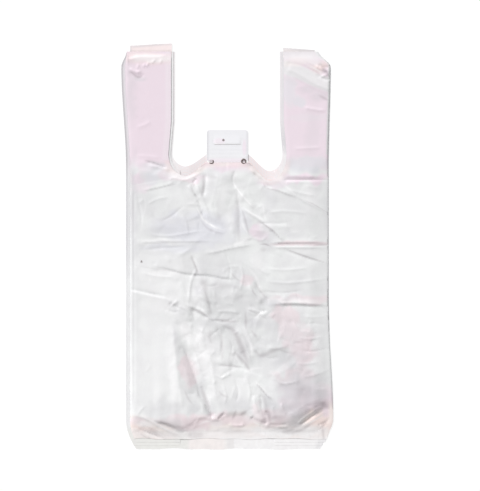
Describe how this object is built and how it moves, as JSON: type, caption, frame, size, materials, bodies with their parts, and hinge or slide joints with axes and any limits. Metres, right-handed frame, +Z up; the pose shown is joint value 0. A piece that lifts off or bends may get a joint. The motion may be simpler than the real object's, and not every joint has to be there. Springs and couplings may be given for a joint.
{
  "type": "plastic carrier bag",
  "caption": "Flat-laid thin film vest-style carrier bag with side gussets, loop handles and a perforated header tab.",
  "frame": {"origin": "middle of the bag's outer box, on the surface that its back panel lies on", "axes": "+X across the bag, +Y from the bottom seal towards the handles, +Z up from the surface through the front panel"},
  "size_m": [0.3134, 0.6, 0.0138],
  "materials": {
    "film": "thin translucent white film, satin"
  },
  "bodies": {
    "root": {"carrier_bag": "film"}
  },
  "joints": []
}
